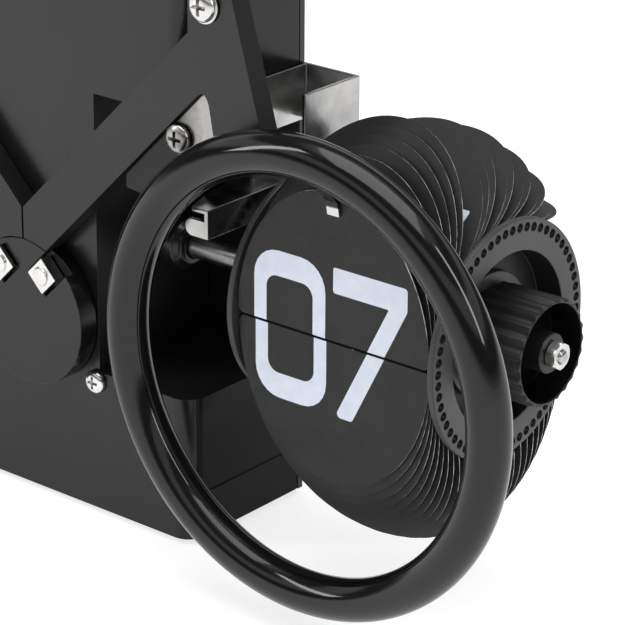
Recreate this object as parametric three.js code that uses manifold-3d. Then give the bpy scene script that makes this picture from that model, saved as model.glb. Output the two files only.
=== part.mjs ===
// Flip number clock with two open leaf wheels, one on each side of a slim upright housing.
// Millimetres, +Z up, -Y is the side that shows the numbers. The minute wheel is on the +X side
// and the hour wheel is its mirror image. Inside the group everything is measured from the
// common wheel axis; the group is then lifted so that the feet stand on Z = 0.

import * as THREE from 'three';
import { mergeVertices } from 'three/addons/utils/BufferGeometryUtils.js';
import Module from 'manifold-3d';

const wasm = await Module();
wasm.setup();

// ---- driving dimensions -------------------------------------------------------------------

const gap = 0.3;
const roundSegments = 24;

const housing = {
  halfWidth: 55.1, front: -22.4, back: 25.5, bottom: -77.6, top: 92, wall: 2.4,
  coreHalfWidth: 21.7, notchBottom: -35.5, notchTop: 45.2, cornerRadius: 6,
};
const base = { seam: -63.7, front: -16.6 };
const backCover = { thickness: 2.1, doorHalfWidth: 36, doorBottom: -72, doorTop: -38 };
const foot = { radius: 5, height: 1.6, x: 44, yFront: -15, yBack: 17 };
const depthCentre = 2;

const wheel = {
  x: 110.3, discOffset: 32.6, discThickness: 1.8, discRadius: 31.9, openingRadius: 23.4,
  cupDepth: 8, cupWall: 1.2, hubRadius: 7, hubFlangeRadius: 16.6, hubFlangeThickness: 1.5,
};
const shaft = { radius: 1.6, inner: 1, outer: 161 };
const knob = { radius: 14.3, rib: 0.9, ribs: 24, outer: 157, recessRadius: 13, recessDepth: 9,
  bossRadius: 5.3 };
const leaf = {
  halfWidth: 31, height: 40, thickness: 0.4, pinRadius: 29.4, rootBandThickness: 1.1,
  rootBandHalfWidth: 30.6, step: 20, splitGap: 0.35, tail: 1.5,
  uprightUntil: 43, uprightLean: 32, hangingLean: 18,
};
const flipLeaf = { thickness: 0.3, back: -29.85 };

const ring = { x: 108.2, y: -39.7, z: -7.75, radius: 58.86, tube: 5.75 };
const finger = { x: 111.3, width: 3.8, thickness: 0.6 };
const bracket = {
  inner: 55.4, outer: 74.5, front: 2.4, back: 25.3, bottom: 34.2, top: 49.8, sheet: 1.2,
  armBottom: 20.3, armTop: 28.3, armFront: -36.4, tabInner: 66.7, tabTop: 25.2,
};
const bearing = { bossRadius: 7.8, bossOuter: 38, tubeRadius: 3.8, tubeOuter: 76, tubeInner: 16.9 };

const fork = { front: -29, back: -22.7, sheet: 1.6, legHalfWidth: 6.85, footZ: 40, headZ: 92 };
const forkScrew = { x: 67.8, z: 79.6 };
const centreDisc = { z: -20.9, radius: 21.4, slotHalfWidth: 4.5, boltX: 8.1, boltZ: -8.1 };
const ringPlate = { front: -27.4, sheet: 1.2, screwX: 57.4, screwZ: 42, pegX: 63.1, pegZ: 30.1 };
const frontScrew = { x: 20.6, z: -38.4 };

const gearTrain = { centreDistance: 21, fastModule: 0.6, slowModule: 0.84, width: 3 };
const teeth = { pinion: 10, fast: 60, slow: 40 };
const layers = { minuteGear: 10, idlerGear: 4.5, hourGear: -7.5 };
const plates = { x: 15.2, thickness: 1.6, halfDepth: 17.5, bottom: -32, top: 44 };
const motor = { radius: 12.6, z: 33, left: -9, right: 8 };
const arborRadius = 1.5;
const battery = { radius: 16.3, halfLength: 29, z: -56.3, y: 2.2, nubRadius: 4.5, nubLength: 1.6 };

// ---- materials ----------------------------------------------------------------------------

function material(color, roughness, metalness) {
  return new THREE.MeshStandardMaterial({ color, roughness, metalness });
}

const satinBlack = material(0x3d3d40, 0.35, 0);
const glossBlack = material(0x141416, 0.12, 0);
const leafBlack = material(0x2c2c2f, 0.75, 0);
const discBlack = material(0x38383b, 0.45, 0);
const knobBlack = material(0x242427, 0.5, 0);
const rubberBlack = material(0x1a1a1a, 0.9, 0);
const steel = material(0xb9bbbf, 0.25, 1);
const brass = material(0xb79a52, 0.3, 1);
const gearWhite = material(0xd9d6cc, 0.5, 0);
const motorGrey = material(0x8f9196, 0.4, 0.8);
const batteryGreen = material(0x37604a, 0.4, 0.2);

// ---- solids -------------------------------------------------------------------------------

function closedMesh(geometry) {
  const bare = geometry.clone();
  bare.deleteAttribute('normal');
  bare.deleteAttribute('uv');
  const merged = mergeVertices(bare, 1e-4);
  const index = [];
  for (let i = 0; i < merged.index.count; i += 3) {
    const corners = [0, 1, 2].map((k) => merged.index.getX(i + k));
    if (new Set(corners).size === 3) {
      index.push(...corners);
    }
  }
  merged.setIndex(index);
  return merged;
}

function signedVolume(geometry) {
  const position = geometry.attributes.position;
  const corner = [new THREE.Vector3(), new THREE.Vector3(), new THREE.Vector3()];
  let volume = 0;
  for (let i = 0; i < geometry.index.count; i += 3) {
    corner.forEach((point, k) => point.fromBufferAttribute(position, geometry.index.getX(i + k)));
    volume += corner[0].dot(corner[1].clone().cross(corner[2])) / 6;
  }
  return volume;
}

function facingOut(geometry) {
  if (signedVolume(geometry) < 0) {
    const index = Array.from(geometry.index.array);
    geometry.setIndex(index.reverse());
  }
  return geometry;
}

function toSolid(geometry) {
  const mesh = facingOut(closedMesh(geometry));
  return new wasm.Manifold(new wasm.Mesh({
    numProp: 3,
    vertProperties: new Float32Array(mesh.attributes.position.array),
    triVerts: new Uint32Array(mesh.index.array),
  }));
}

function toGeometry(solid) {
  const mesh = solid.getMesh();
  const geometry = new THREE.BufferGeometry();
  geometry.setAttribute('position', new THREE.BufferAttribute(mesh.vertProperties, 3));
  geometry.setIndex(new THREE.BufferAttribute(mesh.triVerts, 1));
  return geometry;
}

function union(geometries) {
  const solids = geometries.map(toSolid);
  return toGeometry(solids.reduce((sum, solid) => sum.add(solid)));
}

function cut(geometry, tools) {
  return toGeometry(tools.map(toSolid).reduce((rest, tool) => rest.subtract(tool), toSolid(geometry)));
}

function common(first, second) {
  return toGeometry(toSolid(first).intersect(toSolid(second)));
}

// A box between two opposite corners.
function box(low, high) {
  const size = high.map((value, i) => value - low[i]);
  const centre = high.map((value, i) => (value + low[i]) / 2);
  return new THREE.BoxGeometry(...size).translate(...centre);
}

function outline(points) {
  return new THREE.Shape(points.map(([a, b]) => new THREE.Vector2(a, b)));
}

function circleHole(shape, x, y, radius) {
  const hole = new THREE.Path();
  hole.absarc(x, y, radius, 0, 2 * Math.PI, true);
  shape.holes.push(hole);
  return shape;
}

function extrude(shape, depth, right, up, curveSegments = 12) {
  const geometry = new THREE.ExtrudeGeometry(shape, { depth, bevelEnabled: false, curveSegments });
  const forward = right.clone().cross(up);
  return geometry.applyMatrix4(new THREE.Matrix4().makeBasis(right, up, forward));
}

const axisX = new THREE.Vector3(1, 0, 0);
const axisY = new THREE.Vector3(0, 1, 0);
const axisZ = new THREE.Vector3(0, 0, 1);

// The outline is drawn in (Y, Z) and runs from x0 towards +X.
function slabX(shape, x0, length) {
  return extrude(shape, length, axisY, axisZ).translate(x0, 0, 0);
}

// The outline is drawn in (X, Z) and lies between yFront and yBack.
function slabY(shape, yFront, yBack) {
  return extrude(shape, yBack - yFront, axisX, axisZ).translate(0, yBack, 0);
}

// A round solid about the X axis. The profile is a closed loop of [x, radius] corners.
function turnedX(profile, segments = roundSegments) {
  const points = profile.map(([x, radius]) => new THREE.Vector2(radius, x));
  points.push(points[0].clone());
  return new THREE.LatheGeometry(points, segments).rotateZ(-Math.PI / 2);
}

// The same about a Y axis through (x, z). The profile is a loop of [y, radius] corners.
function turnedY(profile, x, z, segments = 16) {
  const points = profile.map(([y, radius]) => new THREE.Vector2(radius, y));
  points.push(points[0].clone());
  return new THREE.LatheGeometry(points, segments).translate(x, 0, z);
}

function rodX(x0, x1, radius, segments = 16) {
  return turnedX([[x0, 0], [x0, radius], [x1, radius], [x1, 0]], segments);
}

function rodY(y0, y1, radius, x, z, segments = 16) {
  return turnedY([[y0, 0], [y0, radius], [y1, radius], [y1, 0]], x, z, segments);
}

// Every edge of a counter-clockwise outline is moved inwards by the same distance.
function inset(points, distance) {
  const edges = points.map((from, i) => {
    const to = points[(i + 1) % points.length];
    const length = Math.hypot(to[0] - from[0], to[1] - from[1]);
    const along = [(to[0] - from[0]) / length, (to[1] - from[1]) / length];
    return { along, point: [from[0] - along[1] * distance, from[1] + along[0] * distance] };
  });
  return edges.map((edge, i) => {
    const before = edges[(i + edges.length - 1) % edges.length];
    const cross = before.along[0] * edge.along[1] - before.along[1] * edge.along[0];
    const step = ((edge.point[0] - before.point[0]) * edge.along[1]
      - (edge.point[1] - before.point[1]) * edge.along[0]) / cross;
    return [before.point[0] + before.along[0] * step, before.point[1] + before.along[1] * step];
  });
}

function mirrored(geometry) {
  const copy = closedMesh(geometry);
  copy.scale(-1, 1, 1);
  return facingOut(copy);
}

// ---- assembly helpers ---------------------------------------------------------------------

const clock = new THREE.Group();
clock.position.set(0, -depthCentre, foot.height - housing.bottom);

function add(name, geometry, finish) {
  const mesh = new THREE.Mesh(facingOut(closedMesh(geometry)), finish);
  mesh.name = name;
  clock.add(mesh);
}

// A piece of the minute side and its mirror image on the hour side.
function addPair(name, geometry, finish) {
  add(`minute_${name}`, geometry, finish);
  add(`hour_${name}`, mirrored(geometry), finish);
}

// ---- housing ------------------------------------------------------------------------------

// Front view of the housing: full width at the top and bottom, a narrow core between.
function housingOutline(bottom) {
  const { halfWidth, coreHalfWidth, notchBottom, notchTop, top } = housing;
  const right = [
    [halfWidth, bottom], [halfWidth, notchBottom], [coreHalfWidth, notchBottom],
    [coreHalfWidth, notchTop], [halfWidth, notchTop], [halfWidth, top],
  ];
  const left = right.map(([x, z]) => [-x, z]).reverse();
  return [...right, ...left];
}

// Plan view with rounded front corners, used to round the upright edges.
function roundedPlan(front, back) {
  const { halfWidth, cornerRadius: r } = housing;
  const plan = new THREE.Shape();
  plan.moveTo(-halfWidth, back);
  plan.lineTo(-halfWidth, front + r);
  plan.absarc(-halfWidth + r, front + r, r, Math.PI, 1.5 * Math.PI, false);
  plan.absarc(halfWidth - r, front + r, r, 1.5 * Math.PI, 2 * Math.PI, false);
  plan.lineTo(halfWidth, back);
  return plan;
}

function roundedColumn(front, back, bottom, top) {
  const plan = roundedPlan(front, back);
  return extrude(plan, top - bottom, axisX, axisY, 5).translate(0, 0, bottom);
}

function buildHousing() {
  const { front, back, bottom, top, wall, halfWidth } = housing;
  const rear = back - backCover.thickness - gap;
  const shell = slabY(outline(housingOutline(bottom)), front, rear);
  const cavity = slabY(outline(inset(housingOutline(bottom), wall)), front + wall, rear + wall);
  const baseSpace = box(
    [-halfWidth - 1, base.front - gap, bottom - 1],
    [halfWidth + 1, rear + 1, base.seam],
  );
  const screwHoles = [-1, 1].map((side) => (
    rodY(front - 1, front + wall + 1, 1.6, side * frontScrew.x, frontScrew.z)));
  const hollow = cut(shell, [cavity, baseSpace, ...screwHoles]);
  const bossHoles = rodX(-halfWidth, halfWidth, bearing.tubeRadius + gap);
  const column = roundedColumn(front, rear + 1, bottom - 1, top + 1);
  add('front_housing', common(cut(hollow, [bossHoles]), column), satinBlack);
}

function buildBackCover() {
  const { halfWidth, back, bottom, top } = housing;
  const { thickness, doorHalfWidth, doorBottom, doorTop } = backCover;
  const front = back - thickness;
  const plate = box([-halfWidth, front, bottom], [halfWidth, back, top]);
  const doorway = box([-doorHalfWidth, front - 1, doorBottom], [doorHalfWidth, back + 1, doorTop]);
  add('back_cover', cut(plate, [doorway]), satinBlack);

  const panel = box(
    [-doorHalfWidth + gap, front, doorBottom + gap],
    [doorHalfWidth - gap, back, doorTop - gap],
  );
  const gripPitch = 3;
  const grips = [0, 1, 2].map((i) => (
    box([-8, back - 0.7, doorTop - 5.2 - i * gripPitch], [8, back + 1, doorTop - 4 - i * gripPitch])));
  add('battery_door', cut(panel, grips), satinBlack);
}

function buildBase() {
  const { halfWidth, back, bottom, wall } = housing;
  const rear = back - backCover.thickness - gap;
  const block = box([-halfWidth, base.front, bottom], [halfWidth, rear, base.seam - gap]);
  const cavity = box(
    [-halfWidth + wall, base.front + wall, bottom + wall],
    [halfWidth - wall, rear + 1, base.seam],
  );
  add('base_tray', cut(block, [cavity]), satinBlack);

  for (const [side, word] of [[1, 'right'], [-1, 'left']]) {
    for (const [y, end] of [[foot.yFront + 2, 'front'], [foot.yBack, 'back']]) {
      const low = bottom - foot.height;
      const pad = new THREE.CylinderGeometry(foot.radius, foot.radius * 0.9, foot.height - 0.1, 18);
      const z = low + (foot.height - 0.1) / 2;
      add(`foot_${end}_${word}`, pad.rotateX(Math.PI / 2).translate(side * foot.x, y, z), rubberBlack);
    }
  }
}

// ---- fork plates and the disc that joins them ----------------------------------------------

// One fork: a diagonal leg that starts at the clock's centre line, a stem and a splayed leg.
function forkOutline() {
  const reach = fork.legHalfWidth * Math.SQRT2;
  const leftOfStem = 61.7;
  const crotch = [[64.6, 64.6 - reach], [66, 55.9], [67.1, 55.8], [67.9, 55], [68.6, 53.5]];
  return [
    [gap, gap - reach],
    ...crotch,
    [71.2, fork.footZ],
    [84.5, fork.footZ],
    [88, fork.footZ + 3.5],
    [75, fork.headZ - 4],
    [72.6, fork.headZ - 1],
    [69.4, fork.headZ],
    [66, fork.headZ],
    [62.9, fork.headZ - 1.6],
    [leftOfStem, fork.headZ - 4.4],
    [leftOfStem, leftOfStem + reach],
    [gap, gap + reach],
  ];
}

function centreDiscShape() {
  const { z, radius } = centreDisc;
  const shape = new THREE.Shape();
  shape.absarc(0, z, radius, 0, 2 * Math.PI, false);
  return shape;
}

function buildForks() {
  const points = forkOutline();
  const body = slabY(circleHole(outline(points), forkScrew.x, forkScrew.z, 2.4), fork.front, fork.back);
  const pocket = slabY(outline(inset(points, fork.sheet)), fork.front + fork.sheet, fork.back + 1);
  const boss = rodY(fork.front, fork.back, 4.4, forkScrew.x, forkScrew.z);
  const bossBore = rodY(fork.front - 1, fork.back + 1, 2.4, forkScrew.x, forkScrew.z);
  const discSpace = rodY(fork.front - 1, fork.back + 2, centreDisc.radius + gap, 0, centreDisc.z, 32);
  const pressed = union([cut(body, [pocket]), boss]);
  addPair('fork_plate', cut(pressed, [bossBore, discSpace]), satinBlack);
}

function buildCentreDisc() {
  const { boltX, boltZ, slotHalfWidth, z } = centreDisc;
  const disc = extrude(centreDiscShape(), fork.back - fork.front, axisX, axisZ, 16);
  disc.translate(0, fork.back, 0);
  const slots = [-1, 1].map((side) => {
    const slot = new THREE.BoxGeometry(30, 5.1, 2 * slotHalfWidth);
    slot.translate(15 - slotHalfWidth, 0, 0);
    slot.rotateY(side > 0 ? -Math.PI / 4 : -3 * Math.PI / 4);
    return slot.translate(side * boltX, fork.front, boltZ);
  });
  const pocket = rodY(fork.back - 3.4, fork.back + 1, centreDisc.radius - fork.sheet, 0, z, 32);
  add('centre_disc', cut(disc, [...slots, pocket]), satinBlack);
}

// ---- screws and bolts ----------------------------------------------------------------------

// A pan-head screw that looks towards -Y, with a cross recess.
function panScrew(x, z, seatY, headRadius, shankRadius, shankLength) {
  const height = headRadius * 0.55;
  const profile = [
    [seatY + shankLength, 0], [seatY + shankLength, shankRadius], [seatY, shankRadius],
    [seatY, headRadius], [seatY - height * 0.55, headRadius * 0.92],
    [seatY - height, headRadius * 0.55], [seatY - height, 0],
  ];
  const head = turnedY(profile, x, z, 18);
  const arm = headRadius * 0.5;
  const blade = headRadius * 0.11;
  const top = seatY - height - 1;
  const floor = seatY - height * 0.4;
  const recess = [
    box([x - arm, top, z - blade], [x + arm, floor, z + blade]),
    box([x - blade, top, z - arm], [x + blade, floor, z + arm]),
  ];
  return cut(head, recess);
}

function hexagon(acrossFlats) {
  const radius = acrossFlats / Math.sqrt(3);
  const corners = Array.from({ length: 6 }, (unused, i) => i * Math.PI / 3);
  return outline(corners.map((angle) => [radius * Math.cos(angle), radius * Math.sin(angle)]));
}

function buildFasteners() {
  const forkSeat = fork.front - gap;
  addPair('fork_screw', panScrew(forkScrew.x, forkScrew.z, forkSeat, 4.8, 2, 5), steel);
  const plateSeat = ringPlate.front - gap;
  addPair('ring_plate_screw', panScrew(ringPlate.screwX, ringPlate.screwZ, plateSeat, 4, 1.4, 3), steel);
  const coverSeat = housing.front - gap;
  addPair('front_screw', panScrew(frontScrew.x, frontScrew.z, coverSeat, 3.4, 1.4, 2.4), steel);

  const { boltX, boltZ } = centreDisc;
  const slotFloor = fork.front + 2.55;
  const corner = 7.5 / Math.SQRT2;
  const square = outline([[corner, 0], [0, corner], [-corner, 0], [0, -corner]]);
  const head = slabY(square, fork.front - 1.6, slotFloor - gap).translate(boltX, 0, boltZ);
  const end = rodY(fork.front - 2.2, fork.front - 1, 2.6, boltX, boltZ);
  addPair('clamp_bolt', union([head, end]), steel);
}

// ---- wheel bracket, bearing and display ring -------------------------------------------------

function buildBracket() {
  const b = bracket;
  const left = box([b.inner, b.front, b.bottom], [b.inner + b.sheet, b.back, b.top]);
  const web = box([b.inner, b.back - b.sheet, b.bottom], [b.outer, b.back, b.top]);
  const side = [
    [b.armFront, b.armBottom], [b.back, b.armBottom], [b.back, b.top], [b.front, b.top],
    [b.front, b.armTop], [b.armFront, b.armTop],
  ];
  const right = slabX(outline(side), b.outer - b.sheet, b.sheet);
  const shelf = outline([
    [b.outer, b.armFront], [b.outer, b.front + 4], [62.7, b.front + 4], [62.7, -12], [65.3, -26.3],
    [69.1, b.armFront],
  ]);
  const top = extrude(shelf, b.sheet, axisX, axisY).translate(0, 0, b.armTop - b.sheet);
  const tabRadius = (b.tabTop - b.armBottom) / 2;
  const middle = b.armBottom + tabRadius;
  const tab = new THREE.Shape();
  tab.moveTo(b.outer, b.armBottom);
  tab.lineTo(b.outer, b.tabTop);
  tab.absarc(b.tabInner + tabRadius, middle, tabRadius, Math.PI / 2, 1.5 * Math.PI, false);
  const bent = extrude(tab, b.sheet, axisX, axisZ, 6).translate(0, b.armFront + b.sheet, 0);
  addPair('wheel_bracket', union([left, web, right, top, bent]), steel);
}

function buildBearing() {
  const bore = bearing.tubeRadius + gap;
  const inner = housing.coreHalfWidth + gap;
  const boss = [[inner, bore], [inner, bearing.bossRadius], [bearing.bossOuter - 1, bearing.bossRadius],
    [bearing.bossOuter, bearing.bossRadius - 1], [bearing.bossOuter, bore]];
  addPair('bearing_boss', turnedX(boss, 24), satinBlack);
  const innerRadius = shaft.radius + gap;
  const tube = [[bearing.tubeInner, innerRadius], [bearing.tubeInner, bearing.tubeRadius],
    [bearing.tubeOuter, bearing.tubeRadius], [bearing.tubeOuter, innerRadius]];
  addPair('bearing_tube', turnedX(tube, 20), steel);
}

function buildRing() {
  const torus = new THREE.TorusGeometry(ring.radius, ring.tube, 8, 36).rotateX(Math.PI / 2);
  addPair('display_ring', torus.translate(ring.x, ring.y, ring.z), glossBlack);

  const t = finger.thickness;
  const strip = [
    [-37.6, 45.4], [-36.8, 45.4], [-31.1, 38.4], [-30.4, 34.3], [-30.4 - t, 34.3], [-31.1 - t, 38.1],
  ];
  const clip = slabX(outline(strip), finger.x - finger.width / 2, finger.width);
  addPair('leaf_finger', clip, steel);
}

function ringPlateOutline() {
  const reach = fork.legHalfWidth * Math.SQRT2 + gap * 1.5;
  return [
    [38, 24], [52, 22.5], [70.6, 33], [70.6, 41],
    [68.2, 52.6], [67.5, 54.6], [66.9, 55.3], [66, 55.4], [64.6, 64.6 - reach], [38, 38 - reach],
  ];
}

function buildRingPlate() {
  const { front, sheet, screwX, screwZ, pegX, pegZ } = ringPlate;
  const shape = circleHole(outline(ringPlateOutline()), screwX, screwZ, 1.8);
  const plate = slabY(shape, front, front + sheet);
  const pegEnd = ring.y + ring.tube + gap;
  const peg = rodY(pegEnd, front + 0.5, 2.4, pegX, pegZ);
  addPair('ring_plate', union([plate, peg]), steel);
}

// ---- leaf wheel ------------------------------------------------------------------------------

// Half an ellipse above the root line, with an optional strip below it that joins the root band.
function leafShape(root, tail) {
  const { halfWidth, height, rootBandHalfWidth } = leaf;
  const shape = new THREE.Shape();
  shape.moveTo(halfWidth, root);
  shape.absellipse(0, root, halfWidth, height - root, 0, Math.PI, false);
  if (tail > 0) {
    shape.lineTo(-rootBandHalfWidth, root);
    shape.lineTo(-rootBandHalfWidth, -tail);
    shape.lineTo(rootBandHalfWidth, -tail);
    shape.lineTo(rootBandHalfWidth, root);
  }
  return shape;
}

// One leaf hinged at (y, z) that leans back by the given angle from straight up.
function leanedLeaf(y, z, lean, thickness, root, tail) {
  const up = new THREE.Vector3(0, Math.sin(lean), Math.cos(lean));
  const geometry = extrude(leafShape(root, tail), thickness, axisX, up, 6);
  const centring = up.clone().cross(axisX).multiplyScalar(thickness / 2);
  return geometry.translate(wheel.x, y, z).translate(...centring.toArray());
}

// Lean of the leaves above the split line: the front ones stand up, the others lie on each other.
function upperLean(angle) {
  const share = Math.min(1, angle / leaf.uprightUntil);
  const lean = share < 1 ? leaf.uprightLean * Math.sin(Math.PI / 2 * share) : angle;
  return THREE.MathUtils.degToRad(lean);
}

// Lean of the leaves that have dropped: they hang down, dragged back a little under the wheel.
function lowerLean(angle) {
  const drag = leaf.hangingLean * Math.sin(THREE.MathUtils.degToRad(angle));
  return THREE.MathUtils.degToRad(180 - drag);
}

function buildLeaves() {
  const bandRadius = leaf.pinRadius - 0.1;
  const bandInner = bandRadius - leaf.rootBandThickness;
  const left = wheel.x - leaf.rootBandHalfWidth;
  const right = wheel.x + leaf.rootBandHalfWidth;
  const bandProfile = [
    [left, bandInner], [left, bandRadius], [right, bandRadius], [right, bandInner],
  ];
  const band = turnedX(bandProfile, 36);
  const leaves = [band];
  for (let angle = 0; angle <= 180; angle += leaf.step) {
    const y = -leaf.pinRadius * Math.cos(THREE.MathUtils.degToRad(angle));
    const z = leaf.pinRadius * Math.sin(THREE.MathUtils.degToRad(angle));
    if (angle > 0) {
      leaves.push(leanedLeaf(y, z, upperLean(angle), leaf.thickness, 0, leaf.tail));
    }
    if (angle < 180) {
      leaves.push(leanedLeaf(y, -z, lowerLean(angle), leaf.thickness, leaf.splitGap, leaf.tail));
    }
  }
  addPair('leaf_stack', union(leaves), leafBlack);

  const middle = flipLeaf.back - flipLeaf.thickness / 2;
  addPair('flip_leaf', leanedLeaf(middle, 0, 0, flipLeaf.thickness, leaf.splitGap, 0), leafBlack);
}

function buildWheel() {
  const bore = shaft.radius + gap;
  const { x, discOffset, discThickness, discRadius, openingRadius, cupDepth, cupWall } = wheel;
  const outerFace = x + discOffset + discThickness / 2;
  const outerBack = outerFace - discThickness;
  const cupFloor = outerFace - cupDepth;
  const cup = [
    [outerFace, openingRadius], [outerFace, discRadius], [outerBack, discRadius],
    [outerBack, openingRadius + cupWall], [cupFloor - cupWall, openingRadius + cupWall],
    [cupFloor - cupWall, bore], [cupFloor, bore], [cupFloor, openingRadius],
  ];
  addPair('wheel_outer_disc', turnedX(cup, 32), discBlack);

  const innerFace = x - discOffset - discThickness / 2;
  const plate = [
    [innerFace, bore], [innerFace, discRadius], [innerFace + discThickness, discRadius],
    [innerFace + discThickness, bore],
  ];
  addPair('wheel_inner_disc', turnedX(plate, 32), discBlack);

  const hubStart = innerFace + discThickness + gap;
  const hubEnd = cupFloor - cupWall - gap;
  const spool = [[hubStart, bore], [hubStart, wheel.hubRadius], [hubEnd, wheel.hubRadius], [hubEnd, bore]];
  addPair('wheel_hub', turnedX(spool, 24), discBlack);

  const flangeStart = cupFloor + gap;
  const flangeEnd = flangeStart + wheel.hubFlangeThickness;
  const flange = [[flangeStart, bore], [flangeStart, wheel.hubFlangeRadius],
    [flangeEnd, wheel.hubFlangeRadius], [flangeEnd, bore]];
  addPair('wheel_flange', turnedX(flange, 32), discBlack);
  return flangeEnd + gap;
}

function knobOutline() {
  const points = [];
  for (let rib = 0; rib < knob.ribs; rib += 1) {
    for (const [share, radius] of [[0.2, knob.radius], [0.7, knob.radius - knob.rib]]) {
      const angle = 2 * Math.PI * (rib + share) / knob.ribs;
      points.push([radius * Math.cos(angle), radius * Math.sin(angle)]);
    }
  }
  return outline(points);
}

function buildKnob(start) {
  const body = slabX(knobOutline(), start, knob.outer - start);
  const recess = rodX(knob.outer - knob.recessDepth, knob.outer + 1, knob.recessRadius, 32);
  const floor = knob.outer - knob.recessDepth;
  const boss = rodX(floor - 1, knob.outer, knob.bossRadius, 20);
  const bore = rodX(start - 1, knob.outer + 1, shaft.radius + gap);
  addPair('setting_knob', cut(union([cut(body, [recess]), boss]), [bore]), knobBlack);

  const seat = knob.outer + gap;
  const nut = slabX(circleHole(hexagon(6.6), 0, 0, shaft.radius + gap), seat, 2.8);
  addPair('shaft_nut', nut, steel);
  addPair('wheel_shaft', rodX(shaft.inner, shaft.outer, shaft.radius, 16), steel);
}

// ---- movement --------------------------------------------------------------------------------

// Half the angle that a tooth takes up at a given radius, for a 20 degree involute with backlash.
function toothHalfAngle(count, module_, radius) {
  const pitch = count * module_ / 2;
  const pressure = THREE.MathUtils.degToRad(20);
  const baseRadius = pitch * Math.cos(pressure);
  const involute = (angle) => Math.tan(angle) - angle;
  const backlash = 0.2 * module_ / pitch;
  const here = Math.acos(Math.min(1, baseRadius / Math.max(radius, baseRadius)));
  return Math.PI / (2 * count) - backlash + involute(pressure) - involute(here);
}

// A toothed outline with one tooth centred on the angle given by firstTooth.
function gearOutline(count, module_, firstTooth) {
  const pitch = count * module_ / 2;
  const tip = pitch + 0.75 * module_;
  const root = pitch - 1.2 * module_;
  const atTip = toothHalfAngle(count, module_, tip);
  const atRoot = toothHalfAngle(count, module_, root);
  const points = [];
  for (let tooth = 0; tooth < count; tooth += 1) {
    const centre = firstTooth + 2 * Math.PI * tooth / count;
    for (const [angle, radius] of [[-atRoot, root], [-atTip, tip], [atTip, tip], [atRoot, root]]) {
      points.push([radius * Math.cos(centre + angle), radius * Math.sin(centre + angle)]);
    }
  }
  return outline(points);
}

function gear(count, module_, firstTooth, x0, z, bore) {
  const shape = circleHole(gearOutline(count, module_, firstTooth), 0, 0, bore);
  return slabX(shape, x0, gearTrain.width).translate(0, 0, z);
}

// The train from the minute shaft to the hour shaft is 10:60 and then 10:40, so 24 turns make one.
function buildGears() {
  const up = Math.PI / 2;
  const shaftBore = shaft.radius + gap;
  const arborBore = arborRadius + gap;
  const { fastModule, slowModule, centreDistance, width } = gearTrain;
  const { minuteGear, idlerGear, hourGear } = layers;
  const halfPitch = (count) => Math.PI / count;

  const fastWheel = gear(teeth.fast, fastModule, up + halfPitch(teeth.fast), minuteGear, 0, shaftBore);
  const minutePinion = gear(teeth.pinion, fastModule, -up, idlerGear, 0, shaftBore);
  const collar = turnedX([[idlerGear + width - 0.5, shaftBore], [idlerGear + width - 0.5, 2.4],
    [minuteGear + 0.5, 2.4], [minuteGear + 0.5, shaftBore]], 20);
  add('minute_gear', union([fastWheel, minutePinion, collar]), gearWhite);
  const slowWheel = gear(teeth.slow, slowModule, -up + halfPitch(teeth.slow), hourGear, 0, shaftBore);
  add('hour_gear', slowWheel, gearWhite);

  const low = -centreDistance;
  const idlerWheel = gear(teeth.fast, fastModule, up + halfPitch(teeth.fast), idlerGear, low, arborBore);
  const idlerPinion = gear(teeth.pinion, slowModule, up, hourGear, low, arborBore);
  const sleeve = turnedX([[hourGear + width - 0.5, arborBore], [hourGear + width - 0.5, 3],
    [idlerGear + 0.5, 3], [idlerGear + 0.5, arborBore]], 20).translate(0, 0, low);
  add('idler_gear', union([idlerWheel, idlerPinion, sleeve]), gearWhite);
  const arborEnd = plates.x + plates.thickness;
  add('idler_arbor', rodX(-arborEnd, arborEnd, arborRadius, 12).translate(0, 0, low), steel);
}

function buildMotor() {
  const { radius, z, left, right } = motor;
  const pinionBore = 1;
  const can = rodX(left, right, radius, 28).translate(0, 0, z);
  const nose = rodX(right - 1, right + 1, 3, 16).translate(0, 0, gearTrain.centreDistance);
  const bore = rodX(right - 6, right + 2, pinionBore + gap, 12).translate(0, 0, gearTrain.centreDistance);
  add('motor', cut(union([can, nose]), [bore]), motorGrey);
  const pinionOutline = gearOutline(teeth.pinion, gearTrain.fastModule, -Math.PI / 2);
  const pinion = slabX(pinionOutline, layers.minuteGear, gearTrain.width);
  const spindle = rodX(right - 4, layers.minuteGear + 0.5, pinionBore, 12);
  add('motor_pinion', union([pinion, spindle]).translate(0, 0, gearTrain.centreDistance), brass);
}

function buildBearingPlates() {
  const { x, thickness, halfDepth, bottom, top } = plates;
  const shape = outline([[-halfDepth, bottom], [halfDepth, bottom], [halfDepth, top], [-halfDepth, top]]);
  circleHole(shape, 0, 0, shaft.radius + gap);
  circleHole(shape, 0, -gearTrain.centreDistance, arborRadius + gap);
  const bearingPlate = slabX(shape, x, thickness);
  addPair('bearing_plate', bearingPlate, brass);
}

// ---- battery ---------------------------------------------------------------------------------

class Coil extends THREE.Curve {
  getPoint(t) {
    const turns = 3;
    const angle = 2 * Math.PI * turns * t;
    const radius = 7 - 2.5 * t;
    return new THREE.Vector3(8 * t, radius * Math.cos(angle), radius * Math.sin(angle));
  }
}

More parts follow.
